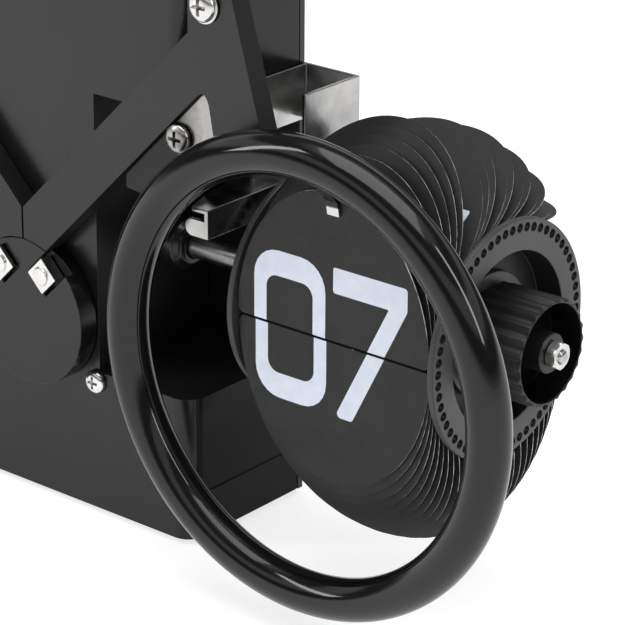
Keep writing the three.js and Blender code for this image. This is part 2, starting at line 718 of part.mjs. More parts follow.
function buildBattery() {
  const { radius, halfLength, y, z, nubRadius, nubLength } = battery;
  const cell = turnedX([
    [-halfLength, 0], [-halfLength, radius - 0.8], [-halfLength + 0.8, radius], [halfLength - 0.8, radius],
    [halfLength, radius - 0.8], [halfLength, nubRadius], [halfLength + nubLength, nubRadius],
    [halfLength + nubLength, 0],
  ]);
  add('battery', cell.translate(0, y, z), batteryGreen);

  const wire = 0.55;
  const section = new THREE.Shape();
  section.absarc(0, 0, wire, 0, 2 * Math.PI, false);
  const coil = new THREE.ExtrudeGeometry(section, { extrudePath: new Coil(), steps: 30, curveSegments: 3 });
  const coilEnd = -halfLength - gap - wire;
  add('battery_spring', coil.translate(coilEnd - 8, y, z), steel);

  const tabStart = halfLength + nubLength + gap;
  const blade = box([tabStart, y - 6, z - 7], [tabStart + 0.6, y + 6, z + 9]);
  add('battery_contact', blade, brass);
}

// ---- the clock -------------------------------------------------------------------------------

buildHousing();
buildBackCover();
buildBase();
buildForks();
buildCentreDisc();
buildFasteners();
buildBracket();
buildBearing();
buildRing();
buildRingPlate();
buildLeaves();
buildKnob(buildWheel());
buildGears();
buildMotor();
buildBearingPlates();
buildBattery();

export default clock;
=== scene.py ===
"""Flip number clock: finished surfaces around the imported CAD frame. Metres, +Z up, -Y is the front."""

import math
import random

import bmesh
import bpy
from mathutils import Matrix, Vector


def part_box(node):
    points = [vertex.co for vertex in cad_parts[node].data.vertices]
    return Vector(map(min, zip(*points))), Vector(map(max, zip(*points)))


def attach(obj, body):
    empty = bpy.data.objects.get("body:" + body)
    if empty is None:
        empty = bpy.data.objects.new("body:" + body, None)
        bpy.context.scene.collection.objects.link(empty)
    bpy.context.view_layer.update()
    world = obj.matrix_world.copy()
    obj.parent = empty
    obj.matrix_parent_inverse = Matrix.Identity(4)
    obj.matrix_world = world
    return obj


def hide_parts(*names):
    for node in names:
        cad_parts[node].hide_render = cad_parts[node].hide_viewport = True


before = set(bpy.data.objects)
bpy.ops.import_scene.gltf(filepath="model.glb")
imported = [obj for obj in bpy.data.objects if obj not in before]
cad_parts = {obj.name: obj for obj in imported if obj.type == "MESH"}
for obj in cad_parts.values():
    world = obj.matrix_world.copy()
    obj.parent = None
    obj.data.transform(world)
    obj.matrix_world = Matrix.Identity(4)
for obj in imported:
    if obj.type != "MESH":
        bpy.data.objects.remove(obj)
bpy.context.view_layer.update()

MM = 0.001
SIDES = {"minute": 1, "hour": -1}


def centre_of(node):
    """Middle of a CAD node's box."""
    low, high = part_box(node)
    return (Vector(low) + Vector(high)) / 2


def turned_size(node):
    """Where a turned node starts and ends along X, and its radius."""
    low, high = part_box(node)
    return low.x, high.x, (high.z - low.z) / 2


# ---- places and sizes taken from the frame --------------------------------------------------

AXIS_Y = centre_of("minute_wheel_shaft").y
AXIS_Z = centre_of("minute_wheel_shaft").z
WHEEL_AXIS = Vector((0, AXIS_Y, AXIS_Z))
WHEEL_X = centre_of("minute_leaf_stack").x
FLIP_LOW, FLIP_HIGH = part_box("minute_flip_leaf")
LEAF_HALF_WIDTH = (FLIP_HIGH.x - FLIP_LOW.x) / 2
LEAF_HEIGHT = FLIP_HIGH.z - AXIS_Z
INNER_DISC_FACE = turned_size("minute_wheel_inner_disc")[0]
OUTER_DISC_FACE, DISC_RADIUS = turned_size("minute_wheel_outer_disc")[1:]
KNOB_START, KNOB_END, KNOB_RADIUS = turned_size("minute_setting_knob")
FINGER_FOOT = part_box("minute_leaf_finger")[0].z
RING = centre_of("minute_display_ring")
RING_LOW, RING_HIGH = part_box("minute_display_ring")
RING_TUBE = (RING_HIGH.y - RING_LOW.y) / 2
RING_RADIUS = (RING_HIGH.x - RING_LOW.x) / 2 - RING_TUBE

HINGE_CIRCLE = 29.4 * MM  # radius that the leaves hang on
PIN_CIRCLE = 29.5 * MM  # radius that the pin holes lie on
PIN_HOLE = 1.25 * MM  # radius
LEAVES = {"minute": 60, "hour": 48}
SPLIT_GAP = 0.5 * MM
DISC_THICKNESS = 1.8 * MM
DISC_OPENING = 23.4 * MM  # radius
CUP_DEPTH = 8 * MM
SHAFT_BORE = 1.9 * MM  # radius


# ---- materials ------------------------------------------------------------------------------

class Nodes:
    """A material's node tree with short helpers."""

    def __init__(self, name):
        self.material = bpy.data.materials.new(name)
        self.material.use_nodes = True
        self.tree = self.material.node_tree
        self.shader = next(n for n in self.tree.nodes if n.type == "BSDF_PRINCIPLED")
        self.position = self.add("ShaderNodeTexCoord").outputs["Object"]

    def add(self, kind, **settings):
        node = self.tree.nodes.new(kind)
        for key, value in settings.items():
            setattr(node, key, value)
        return node

    def link(self, output, socket):
        self.tree.links.new(output, socket)

    def noise(self, scale, detail, stretch=(1, 1, 1)):
        mapping = self.add("ShaderNodeMapping")
        mapping.inputs["Scale"].default_value = stretch
        self.link(self.position, mapping.inputs["Vector"])
        node = self.add("ShaderNodeTexNoise")
        node.inputs["Scale"].default_value = scale
        node.inputs["Detail"].default_value = detail
        node.inputs["Roughness"].default_value = 0.55
        self.link(mapping.outputs["Vector"], node.inputs["Vector"])
        return node.outputs["Fac"]

    def range(self, value, low, high, start=0.3, end=0.7):
        node = self.add("ShaderNodeMapRange")
        node.inputs["From Min"].default_value = start
        node.inputs["From Max"].default_value = end
        node.inputs["To Min"].default_value = low
        node.inputs["To Max"].default_value = high
        self.link(value, node.inputs["Value"])
        return node.outputs["Result"]

    def tint(self, value, dark, light):
        node = self.add("ShaderNodeValToRGB")
        node.color_ramp.elements[0].position = 0.3
        node.color_ramp.elements[0].color = (*dark, 1)
        node.color_ramp.elements[1].position = 0.7
        node.color_ramp.elements[1].color = (*light, 1)
        self.link(value, node.inputs["Fac"])
        return node.outputs["Color"]

    def bump(self, height, strength, distance):
        node = self.add("ShaderNodeBump")
        node.inputs["Strength"].default_value = strength
        node.inputs["Distance"].default_value = distance
        self.link(height, node.inputs["Height"])
        self.link(node.outputs["Normal"], self.shader.inputs["Normal"])


def shade(value):
    return (value, value, value * 1.03)


def coated(name, dark, light, rough, grain, bump=0.04, coat=0.0, specular=0.5):
    """Black lacquer or plastic: a broad cloudiness, a fine grain, and an uneven gloss."""
    n = Nodes(name)
    cloud = n.noise(18, 3)
    n.link(n.tint(cloud, shade(dark), shade(light)), n.shader.inputs["Base Color"])
    smear = n.noise(55, 4)
    n.link(n.range(smear, rough[0], rough[1]), n.shader.inputs["Roughness"])
    n.bump(n.noise(grain, 2), bump, 0.0001)
    n.shader.inputs["Coat Weight"].default_value = coat
    n.shader.inputs["Coat Roughness"].default_value = 0.1
    n.shader.inputs["Specular IOR Level"].default_value = specular
    return n.material


def metal(name, dark, light, rough, stretch=(1, 1, 1), anisotropic=0.0, scratches=0.05, mottle=60):
    """Bare metal with fine rolling lines along one direction and cloudy handling marks."""
    n = Nodes(name)
    lines = n.noise(900, 2, stretch)
    cloud = n.noise(mottle, 4)
    n.link(n.tint(cloud, dark, light), n.shader.inputs["Base Color"])
    n.link(n.range(n.noise(140, 4), rough[0], rough[1]), n.shader.inputs["Roughness"])
    n.bump(lines, scratches, 0.00005)
    n.shader.inputs["Metallic"].default_value = 1
    n.shader.inputs["Anisotropic"].default_value = anisotropic
    return n.material


def printed(name):
    """White screen print: slightly blue, with faint pinholes in the ink."""
    n = Nodes(name)
    n.link(n.tint(n.noise(260, 4), (0.70, 0.75, 0.86), (0.78, 0.83, 0.94)), n.shader.inputs["Base Color"])
    n.link(n.range(n.noise(120, 3), 0.55, 0.75), n.shader.inputs["Roughness"])
    n.bump(n.noise(2200, 2), 0.03, 0.00005)
    return n.material


def leaf_sheet(name):
    """Thin matt plastic sheet with a fine calendered grain and a few dust specks."""
    n = Nodes(name)
    specks = n.noise(700, 2)
    spread = n.tint(specks, shade(0.012), shade(0.016))
    ramp = spread.node.color_ramp
    dust = ramp.elements.new(0.86)
    dust.color = (*shade(0.016), 1)
    last = ramp.elements.new(0.93)
    last.color = (*shade(0.09), 1)
    n.link(spread, n.shader.inputs["Base Color"])
    n.link(n.range(n.noise(90, 3), 0.5, 0.62), n.shader.inputs["Roughness"])
    n.shader.inputs["Specular IOR Level"].default_value = 0.38
    n.bump(n.noise(3200, 2), 0.08, 0.00005)
    return n.material


def steel_darker_along_axis(name, axis, dark_at, light_at, light):
    """Polished sheet that is dark at one place along an axis and clear at another."""
    n = Nodes(name)
    parts = n.add("ShaderNodeSeparateXYZ")
    n.link(n.position, parts.inputs[0])
    size = n.add("ShaderNodeMath")
    size.operation = "ABSOLUTE"
    n.link(parts.outputs[axis], size.inputs[0])
    across = n.range(size.outputs[0], 0, 1, dark_at, light_at)
    mixed = n.add("ShaderNodeMath")
    mixed.operation = "MULTIPLY"
    n.link(across, mixed.inputs[0])
    n.link(n.range(n.noise(110, 4), 0.55, 1), mixed.inputs[1])
    n.link(n.tint(mixed.outputs[0], (0.035, 0.035, 0.035), light), n.shader.inputs["Base Color"])
    n.link(n.range(n.noise(140, 4), 0.2, 0.34), n.shader.inputs["Roughness"])
    n.bump(n.noise(900, 2, (0.3, 1, 1)), 0.15, 0.00005)
    n.shader.inputs["Metallic"].default_value = 1
    return n.material


def enamel_with_painted_low_shade(name, dark, light, low_gloss, high_gloss, low_z, high_z):
    """The housing's enamel, duller towards the foot: painted shade, so that the lower part reflects less
    light.
    """
    n = Nodes(name)
    n.link(n.tint(n.noise(18, 3), shade(dark), shade(light)), n.shader.inputs["Base Color"])
    n.link(n.range(n.noise(55, 4), 0.20, 0.28), n.shader.inputs["Roughness"])
    parts = n.add("ShaderNodeSeparateXYZ")
    n.link(n.position, parts.inputs[0])
    gloss = n.range(parts.outputs["Z"], low_gloss, high_gloss, low_z, high_z)
    n.link(gloss, n.shader.inputs["Specular IOR Level"])
    n.bump(n.noise(1500, 2), 0.03, 0.0001)
    return n.material


def cut_edge(name):
    """The pale sheared edge of a leaf, bright in places and dirty in others."""
    n = Nodes(name)
    n.link(n.tint(n.noise(420, 3), shade(0.05), shade(0.85)), n.shader.inputs["Base Color"])
    n.link(n.range(n.noise(300, 2), 0.35, 0.6), n.shader.inputs["Roughness"])
    return n.material


def build_materials():
    return {
        # The gloss that falls towards the foot is painted shade.
        "housing_black": enamel_with_painted_low_shade("housing_enamel", 0.006, 0.009, 0.33, 0.46, 10 * MM, 130 * MM),
        # Painted shade: a darker, less glossy copy of the housing's enamel for its side faces.
        "painted_side_shade_black": enamel_with_painted_low_shade("painted_side_shade_enamel", 0.002, 0.004, 0.09, 0.3, 30 * MM, 110 * MM),
        "gloss_black": coated("ring_gloss", 0.004, 0.006, (0.07, 0.11), 900, 0.015, specular=0.42),
        "leaf_black": leaf_sheet("leaf_sheet"),
        "disc_black": coated("disc_moulding", 0.030, 0.042, (0.34, 0.46), 1800, 0.08),
        "knob_black": coated("knob_moulding", 0.009, 0.014, (0.36, 0.48), 1600, 0.1, specular=0.36),
        "foot_rubber": coated("foot_rubber", 0.012, 0.018, (0.75, 0.9), 1200, 0.2),
        "steel": metal("polished_steel", (0.30, 0.30, 0.30), (0.56, 0.55, 0.54), (0.12, 0.26), (0.05, 1, 1),
                       anisotropic=0.3, scratches=0.12),
        "plate_steel": steel_darker_along_axis("crotch_plate", "X", 51 * MM, 66 * MM, (0.40, 0.39, 0.38)),
        # Painted shade on the finger's upper part; only its tab at the foot is left bright.
        "finger_steel": steel_darker_along_axis(
            "leaf_finger_sheet", "Z", FINGER_FOOT + 3 * MM, FINGER_FOOT + 2 * MM, (0.62, 0.61, 0.60)),
        "tube_steel": metal("bearing_tube", (0.20, 0.20, 0.205), (0.32, 0.32, 0.33), (0.24, 0.34),
                            (1, 0.2, 0.2)),
        "brass": metal("turned_brass", (0.55, 0.41, 0.16), (0.68, 0.53, 0.24), (0.2, 0.35), (1, 1, 0.1)),
        "gear_plastic": coated("gear_nylon", 0.60, 0.68, (0.4, 0.5), 1200, 0.05),
        "motor_case": metal("motor_can", (0.42, 0.43, 0.45), (0.55, 0.56, 0.58), (0.3, 0.45), (1, 0.1, 1)),
        "battery_jacket": coated("battery_sleeve", 0.05, 0.07, (0.2, 0.3), 600, 0.03, 0.5),
        "screw_steel": metal("screw_steel", (0.58, 0.57, 0.55), (0.85, 0.84, 0.82), (0.12, 0.3),
                             scratches=0.2),
        "leaf_edge": cut_edge("leaf_edge"),
        "digit_print": printed("digit_print"),
        # Painted shade: the darker black for the housing's notch walls, the fork plates' edge faces and the
        # outer discs' cups.
        "painted_shade_black": coated("painted_shade_black", 0.009, 0.012, (0.35, 0.5), 900, 0.05, specular=0.25),
        # Painted shadow: a near-black that hardly reflects, for the knob's recess and the hinge wire in the
        # leaf's split.
        "painted_shadow_black": coated("painted_shadow_black", 0.002, 0.003, (0.5, 0.65), 900, 0.05, specular=0.05),
        "nut_steel": metal("nut_steel", (0.50, 0.49, 0.48), (0.80, 0.79, 0.77), (0.30, 0.42), scratches=0.1),
        "dull_steel": metal("dull_screw", (0.16, 0.15, 0.14), (0.55, 0.54, 0.52), (0.2, 0.36),
                            scratches=0.2, mottle=220),
    }


MATERIALS = build_materials()


# ---- mesh helpers ---------------------------------------------------------------------------

def finish_piece(obj, body, nodes=(), material=None):
    """Gives a piece its material, its body and the CAD nodes that it stands for."""
    if material:
        obj.data.materials.clear()
        obj.data.materials.append(MATERIALS[material])
    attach(obj, body)
    if nodes:
        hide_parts(*nodes)
    return obj


def object_from(name, bm, smooth_angle=None):
    """Turns a bmesh into an object, flat shaded unless an angle for smooth() is given."""
    mesh = bpy.data.meshes.new(name)
    bmesh.ops.recalc_face_normals(bm, faces=bm.faces)
    bm.to_mesh(mesh)
    bm.free()
    obj = bpy.data.objects.new(name, mesh)
    bpy.context.scene.collection.objects.link(obj)
    if smooth_angle:
        smooth(obj, smooth_angle)
    return obj


def smooth(obj, angle):
    """Smooth shading that stays sharp at edges steeper than angle."""
    mesh = obj.data
    mesh.shade_smooth()
    mesh.set_sharp_from_angle(angle=math.radians(angle))


def apply_modifiers(obj):
    depsgraph = bpy.context.evaluated_depsgraph_get()
    mesh = bpy.data.meshes.new_from_object(obj.evaluated_get(depsgraph))
    obj.modifiers.clear()
    obj.data = mesh


def bevel(obj, width, segments, angle):
    modifier = obj.modifiers.new("edge", "BEVEL")
    modifier.width = width
    modifier.segments = segments
    modifier.limit_method = "ANGLE"
    modifier.angle_limit = math.radians(angle)
    modifier.harden_normals = True
    modifier.use_clamp_overlap = True
    apply_modifiers(obj)


def cut(obj, cutter):
    """Takes cutter's volume out of obj and deletes cutter."""
    modifier = obj.modifiers.new("cut", "BOOLEAN")
    modifier.operation = "DIFFERENCE"
    modifier.solver = "EXACT"
    modifier.object = cutter
    apply_modifiers(obj)
    bpy.data.objects.remove(cutter)


def add_lathe(bm, profile, centre, axis, segments):
    """Revolves a closed loop of (along, radius) points round an axis through centre.

    A radius may also be a function of the angle, for a ribbed or six-sided ring."""
    rows = []
    for along, radius in profile:
        row = []
        for i in range(segments):
            angle = 2 * math.pi * i / segments
            reach = radius(angle) if callable(radius) else radius
            side, up = reach * math.cos(angle), reach * math.sin(angle)
            offset = {"x": (along, side, up), "y": (side, along, up), "z": (side, up, along)}[axis]
            row.append(bm.verts.new(centre + Vector(offset)))
        rows.append(row)
    for i, row in enumerate(rows):
        after = rows[(i + 1) % len(rows)]
        for j in range(segments):
            k = (j + 1) % segments
            bm.faces.new((row[j], row[k], after[k], after[j]))


def rounded(profile, radius):
    """Rounds every corner of a closed 2-D loop with an arc that starts radius away from it."""
    steps = 4
    points = [Vector(p) for p in profile]
    out = []
    for i, corner in enumerate(points):
        before = points[i - 1] - corner
        after = points[(i + 1) % len(points)] - corner
        reach = min(radius, before.length * 0.45, after.length * 0.45)
        start = corner + before.normalized() * reach
        end = corner + after.normalized() * reach
        for step in range(steps + 1):
            t = step / steps
            out.append(start * (1 - t) ** 2 + corner * 2 * t * (1 - t) + end * t ** 2)
    return [tuple(p) for p in out]


def lathe(name, profile, centre, axis, segments, fillet):
    """A turned piece with all its edges rounded."""
    bm = bmesh.new()
    add_lathe(bm, rounded(profile, fillet), centre, axis, segments)
    return object_from(name, bm, 40)


def rod(name, start, end, radius, centre, axis, segments, fillet, bore=0.1 * MM):
    """A turned pin, or a sleeve where a real bore is given, from start to end along its axis."""
    profile = [(start, bore), (start, radius), (end, radius), (end, bore)]
    return lathe(name, profile, centre, axis, segments, fillet)


def refined(node, body, slot_name, width, material=None, segments=3, angle=28):
    """A copy of a flat-faced CAD node with its edges rounded, which stands for that node."""
    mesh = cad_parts[node].data.copy()
    obj = bpy.data.objects.new(f"{node}_finished", mesh)
    bpy.context.scene.collection.objects.link(obj)
    bm = bmesh.new()
    bm.from_mesh(mesh)
    bmesh.ops.remove_doubles(bm, verts=bm.verts, dist=1e-6)
    bmesh.ops.dissolve_limit(bm, angle_limit=math.radians(1), verts=bm.verts, edges=bm.edges)
    bm.to_mesh(mesh)
    bm.free()
    smooth(obj, angle)
    bevel(obj, width, segments, angle)
    return finish_piece(obj, body, [node], material or slot_name)


def mirrored(obj, name):
    """The same piece on the hour side."""
    mesh = obj.data.copy()
    mesh.transform(Matrix.Scale(-1, 4, (1, 0, 0)))
    mesh.flip_normals()
    copy = bpy.data.objects.new(name, mesh)
    bpy.context.scene.collection.objects.link(copy)
    return copy


def finish_pair(obj, body, nodes, material):
    """Finishes a minute-side piece and makes its mirror image. body and nodes leave out the side word."""
    twin = mirrored(obj, obj.name.replace("minute_", "hour_"))
    for piece, side in ((obj, "minute"), (twin, "hour")):
        rides = "root" if body == "root" else f"{side}_{body}"
        finish_piece(piece, rides, [f"{side}_{node}" for node in nodes], material)
    return obj, twin


def paint_shade(obj, chosen, material="painted_shade_black"):
    """Painted shade: gives the faces that chosen(face) picks another, darker and duller black."""
    index = len(obj.data.materials)
    obj.data.materials.append(MATERIALS[material])
    for face in obj.data.polygons:
        if chosen(face):
            face.material_index = index


def off_axis(point):
    """Distance from the wheels' axis."""
    return math.hypot(point.y - AXIS_Y, point.z - AXIS_Z)


# ---- housing, base and battery ----------------------------------------------------------------

def build_shells():
    housing = refined("front_housing", "root", "housing_black", 0.5 * MM)
    wall_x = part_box("front_housing")[1].x - 2 * MM
    notch_bottom, notch_top = AXIS_Z - 38 * MM, AXIS_Z + 48 * MM
    # Painted shade on the walls inside the housing's notch.
    paint_shade(housing, lambda face: abs(face.center.x) < wall_x and abs(face.normal.y) < 0.5
           and notch_bottom < face.center.z < notch_top)
    # Painted shade on the housing's side faces.
    paint_shade(housing, lambda face: abs(face.center.x) > wall_x and abs(face.normal.x) > 0.9, "painted_side_shade_black")
    refined("back_cover", "root", "housing_black", 0.18 * MM)
    tray = refined("base_tray", "root", "housing_black", 0.5 * MM)
    # Painted shade on the base tray's side faces.
    paint_shade(tray, lambda face: abs(face.normal.x) > 0.9, "painted_side_shade_black")
    refined("battery_door", "battery_door", "housing_black", 0.35 * MM)


def build_feet():
    for node in sorted(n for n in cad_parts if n.startswith("foot_")):
        low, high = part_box(node)
        centre = centre_of(node)
        radius = (high.x - low.x) / 2
        base, top = low.z, high.z
        profile = [
            (base, 0.2 * MM), (base, radius * 0.62), (base + 0.3 * MM, radius * 0.66), (base, radius * 0.7),
            (base, radius * 0.92), (top, radius), (top, 0.2 * MM),
        ]
        pad = lathe(f"{node}_pad", profile, Vector((centre.x, centre.y, 0)), "z", 48, 0.2 * MM)
        finish_piece(pad, "root", [node], "foot_rubber")


def build_battery():
    low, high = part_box("battery")
    centre = centre_of("battery")
    radius = (high.z - low.z) / 2
    body_end = high.x - 1.6 * MM
    nub = 4.5 * MM
    profile = [
        (low.x + 0.3 * MM, 0.2 * MM), (low.x + 0.3 * MM, radius * 0.72), (low.x, radius * 0.78),
        (low.x, radius * 0.93), (low.x + 0.8 * MM, radius), (body_end - 0.8 * MM, radius),
        (body_end, radius * 0.93), (body_end, nub), (high.x, nub), (high.x, 0.2 * MM),
    ]
    cell = lathe("battery_cell", profile, Vector((0, centre.y, centre.z)), "x", 64, 0.3 * MM)
    finish_piece(cell, "root", ["battery"], "battery_jacket")
    refined("battery_contact", "root", "brass", 0.12 * MM)
    refined("battery_spring", "root", "steel", 0.02 * MM, "steel", 1, 60)


# ---- forks, centre disc, plates and fasteners --------------------------------------------------

def build_forks():
    for side in SIDES:
        fork = refined(f"{side}_fork_plate", "root", "housing_black", 0.45 * MM, angle=22)
        # Painted shade on the fork plate's edge faces.
        paint_shade(fork, lambda face: abs(face.normal.y) < 0.3)
        refined(f"{side}_ring_plate", "root", "steel", 0.3 * MM, "plate_steel")
        refined(f"{side}_wheel_bracket", "root", "steel", 0.28 * MM)
        refined(f"{side}_leaf_finger", "root", "steel", 0.12 * MM, "finger_steel")
        refined(f"{side}_bearing_plate", "root", "brass", 0.2 * MM)
        refined(f"{side}_clamp_bolt", "root", "steel", 0.35 * MM, "screw_steel", 4)
    refined("centre_disc", "root", "housing_black", 0.45 * MM)


def hexagon(across_flats, limit=None):
    """Radius of a hexagon with one corner up, cut back to a circle where limit is given."""
    def radius(angle):
        turn = (angle - math.pi / 6) % (math.pi / 3) - math.pi / 6
        flat = across_flats / 2 / math.cos(turn)
        return min(flat, limit) if limit else flat
    return radius


def cross_cutter(x, z, face_y, arm, half_width, depth):
    """A four-armed driver bit that tapers towards its tip, pointing along +Y."""
    outline = []
    for quarter in range(4):
        turn = quarter * math.pi / 2
        for a, b in ((arm, -half_width), (arm, half_width), (half_width, half_width)):
            outline.append((a * math.cos(turn) - b * math.sin(turn), a * math.sin(turn) + b * math.cos(turn)))
    bm = bmesh.new()
    rings = [
        [bm.verts.new((x + a * share, face_y + along, z + b * share)) for a, b in outline]
        for along, share in ((-MM, 1.0), (0, 1.0), (depth, 0.5))
    ]
    bm.faces.new(rings[0])
    bm.faces.new(rings[-1])
    for first, second in zip(rings, rings[1:]):
        for i in range(len(outline)):
            j = (i + 1) % len(outline)
            bm.faces.new((first[i], first[j], second[j], second[i]))
    bmesh.ops.recalc_face_normals(bm, faces=bm.faces)
    return object_from("driver_bit", bm)


def build_screw(suffix, washer_share, material="screw_steel"):
    """A domed cross-recessed screw, seated where the CAD screw's head is. washer_share is the washer's bore
    as a share of the dome, and 0 leaves the washer out."""
    node = f"minute_{suffix}"
    low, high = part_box(node)
    centre = centre_of(node)
    head = (high.x - low.x) / 2
    height = head * 0.55
    shank_share, cross_share, arm_share, depth_share, rim_share = 0.42, 0.58, 0.13, 0.8, 0.3
    face = low.y
    seat = face + height
    axis = Vector((centre.x, 0, centre.z))
    top = head * (0.9 if washer_share else 1.0)
    profile = [(seat, 0.05 * MM), (seat, top)]
    steps = 8
    for i in range(steps + 1):
        turn = math.pi / 2 * i / steps
        profile.append((
            seat - height * (rim_share + (1 - rim_share) * math.sin(turn)),
            top * (rim_share + (1 - rim_share) * math.cos(turn))))
    profile.append((face, 0.05 * MM))
    bm = bmesh.new()
    add_lathe(bm, profile, axis, "y", 64)
    dome = object_from(f"{node}_head", bm, 50)
    cut(dome, cross_cutter(
        centre.x, centre.z, face, top * cross_share, top * arm_share, height * depth_share))
    smooth(dome, 35)
    finish_pair(dome, "root", [suffix], material)
    shank = rod(f"{node}_shank", seat, high.y, top * shank_share, axis, "y", 32, 0.1 * MM)
    finish_pair(shank, "root", (), "screw_steel")
    if washer_share:
        bore = top * washer_share
        washer = rod(f"{node}_washer", seat - 0.5 * MM, seat, head, axis, "y", 64, 0.12 * MM, bore)
        finish_pair(washer, "root", (), "screw_steel")


# ---- bearing and ring ---------------------------------------------------------------------------

def build_bearing():
    start, end, radius = turned_size("minute_bearing_boss")
    bore = 4 * MM
    boss = lathe("minute_bearing_cone", [
        (start, bore), (start, radius), (end - 2.4 * MM, radius), (end - 1.2 * MM, radius - 1.4 * MM),
        (end - 0.4 * MM, radius - 1.8 * MM), (end, radius - 2.6 * MM), (end, bore),
    ], WHEEL_AXIS, "x", 80, 0.4 * MM)
    finish_pair(boss, "root", ["bearing_boss"], "housing_black")
    size = turned_size("minute_bearing_tube")
    tube = rod("minute_bearing_sleeve", *size, WHEEL_AXIS, "x", 64, 0.3 * MM, SHAFT_BORE)
    finish_pair(tube, "root", ["bearing_tube"], "tube_steel")


def build_ring():
    across = 40
    profile = []
    for i in range(across):
        roll = 2 * math.pi * i / across
        profile.append((RING_TUBE * math.sin(roll), RING_RADIUS + RING_TUBE * math.cos(roll)))
    bm = bmesh.new()
    add_lathe(bm, profile, RING, "y", 144)
    torus = object_from("minute_ring_tube", bm, 60)
    finish_pair(torus, "root", ["display_ring"], "gloss_black")


# ---- wheels -------------------------------------------------------------------------------------

def pin_rods(name, count, start, end, radius, segments):
    """One short rod along X at each leaf pin."""
    bm = bmesh.new()
    for i in range(count):
        turn = 2 * math.pi * i / count
        centre = Vector((0, AXIS_Y + PIN_CIRCLE * math.cos(turn), AXIS_Z + PIN_CIRCLE * math.sin(turn)))
        profile = [(start, radius * 0.1), (start, radius), (end, radius), (end, radius * 0.1)]
        add_lathe(bm, profile, centre, "x", segments)
    return object_from(name, bm, 40)


def finish_wheel_piece(obj, side, nodes, material):
    """Finishes a piece drawn on the minute side, after moving it over if it is the hour wheel's."""
    if side == "hour":
        twin = mirrored(obj, obj.name)
        bpy.data.objects.remove(obj)
        obj = twin
    return finish_piece(obj, f"{side}_wheel", nodes, material)


def build_discs():
    wall = 1.2 * MM
    hole_depth, groove = 1.3 * MM, 0.5 * MM
    for side, count in LEAVES.items():
        front = OUTER_DISC_FACE
        back = front - DISC_THICKNESS
        floor = front - CUP_DEPTH
        outer = lathe(f"{side}_outer_disc", [
            (front, DISC_OPENING), (front, DISC_RADIUS), (back, DISC_RADIUS), (back, DISC_OPENING + wall),
            (floor - wall, DISC_OPENING + wall), (floor - wall, SHAFT_BORE), (floor, SHAFT_BORE),
            (floor, DISC_OPENING),
        ], WHEEL_AXIS, "x", 128, 0.35 * MM)
        cut(outer, pin_rods("drill", count, front - hole_depth, front + MM, PIN_HOLE, 20))
        smooth(outer, 35)
        outer = finish_wheel_piece(outer, side, [f"{side}_wheel_outer_disc"], "disc_black")
        # Painted shade inside the outer disc's cup.
        paint_shade(outer, lambda face: off_axis(face.center) < DISC_OPENING + 0.02 * MM
               and floor - 0.1 * MM < abs(face.center.x) < OUTER_DISC_FACE - 0.3 * MM)

        ends = pin_rods(f"{side}_leaf_pins", count, front - 1.4 * MM, front - 0.7 * MM, 0.6 * MM, 12)
        finish_wheel_piece(ends, side, (), "leaf_black")

        front = INNER_DISC_FACE
        back = front + DISC_THICKNESS
        inner = lathe(f"{side}_inner_disc", [
            (front, SHAFT_BORE), (front, 9 * MM), (front + groove, 10 * MM), (front + groove, 24 * MM),
            (front, 25 * MM), (front, DISC_RADIUS), (back, DISC_RADIUS), (back, SHAFT_BORE),
        ], WHEEL_AXIS, "x", 128, 0.35 * MM)
        cut(inner, pin_rods("drill", count, front - MM, front + hole_depth, PIN_HOLE, 20))
        smooth(inner, 35)
        finish_wheel_piece(inner, side, [f"{side}_wheel_inner_disc"], "disc_black")


def build_hub():
    size = turned_size("minute_wheel_hub")
    spool = rod("minute_hub_spool", *size, WHEEL_AXIS, "x", 72, 0.3 * MM, SHAFT_BORE)
    finish_pair(spool, "wheel", ["wheel_hub"], "disc_black")
    size = turned_size("minute_wheel_flange")
    flange = rod("minute_hub_flange", *size, WHEEL_AXIS, "x", 96, 0.3 * MM, SHAFT_BORE)
    finish_pair(flange, "wheel", ["wheel_flange"], "disc_black")


def build_knob():
    ribs, rib = 24, 0.9 * MM

    def ribbed(drop, share=1.0):
        def radius(angle):
            wave = 0.5 - 0.5 * math.cos(ribs * angle)
            return KNOB_RADIUS - drop - rib * share * wave ** 0.8
        return radius

    recess = 13 * MM
    floor = KNOB_END - 9 * MM
    boss = 5.3 * MM
    soft = 0.4 * MM
    profile = [
        (KNOB_START, SHAFT_BORE), (KNOB_START, ribbed(1.6 * MM, 0.4)),
        (KNOB_START + soft, ribbed(0.5 * MM, 0.8)), (KNOB_START + 2 * soft, ribbed(0.1 * MM)),
        (KNOB_START + 3 * soft, ribbed(0)), (KNOB_END - 2.5 * soft, ribbed(0)),
        (KNOB_END - 1.2 * soft, ribbed(0.08 * MM)), (KNOB_END - 0.3 * soft, ribbed(0.25 * MM, 0.7)),
        (KNOB_END, recess + 0.28 * MM), (KNOB_END - 0.1 * MM, recess + 0.08 * MM),
        (KNOB_END - 0.35 * MM, recess), (floor + soft, recess - 0.7 * MM), (floor, recess - 1.1 * MM),
        (floor, boss + 0.3 * MM), (floor + 0.3 * MM, boss), (KNOB_END - 0.25 * MM, boss),
        (KNOB_END, boss - 0.25 * MM), (KNOB_END, SHAFT_BORE),
    ]
    bm = bmesh.new()
    add_lathe(bm, profile, WHEEL_AXIS, "x", ribs * 10)
    knob = object_from("minute_knob_body", bm, 32)
    edge = KNOB_END - 0.3 * MM
    for piece in finish_pair(knob, "wheel", ["setting_knob"], "knob_black"):
        # Painted shadow inside the knob's recess.
        paint_shade(piece, lambda face: abs(face.center.x) < edge
               and boss + 0.1 * MM < off_axis(face.center) < recess + 0.02 * MM, "painted_shadow_black")


